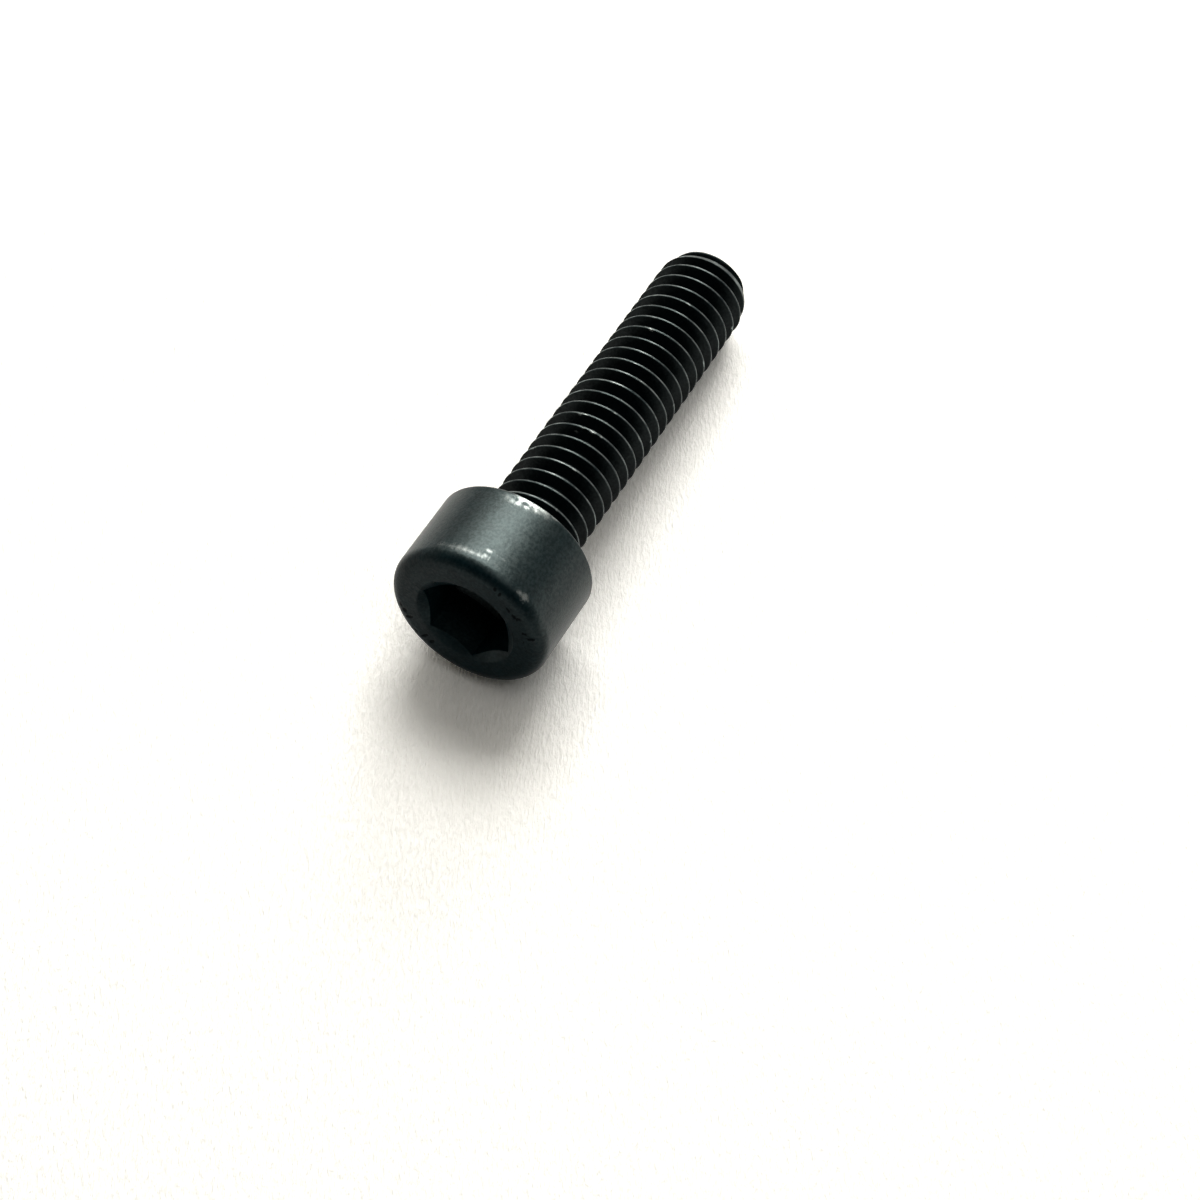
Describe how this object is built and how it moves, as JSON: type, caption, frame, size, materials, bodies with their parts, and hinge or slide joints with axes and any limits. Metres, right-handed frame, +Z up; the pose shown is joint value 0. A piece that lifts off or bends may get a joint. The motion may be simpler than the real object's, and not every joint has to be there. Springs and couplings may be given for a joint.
{
  "type": "brake lever clamp bolt",
  "caption": "Fully threaded socket head cap screw with a plain round head, a hexagon socket and a coned tip, for closing the clamp of a brake lever.",
  "frame": {"origin": "centre of the bolt's footprint on the surface it lies on", "axes": "+X from the head towards the tip, +Y across the bolt, +Z up; the bolt's own axis dips 4.74 degrees towards the tip, because the head is wider than the thread"},
  "size_m": [0.031, 0.0098, 0.0102],
  "materials": {
    "black_oxide_steel": "black oxide, satin, worn bright along the thread crests and at nicks"
  },
  "bodies": {
    "root": {"clamp_bolt": "black_oxide_steel"}
  },
  "joints": []
}
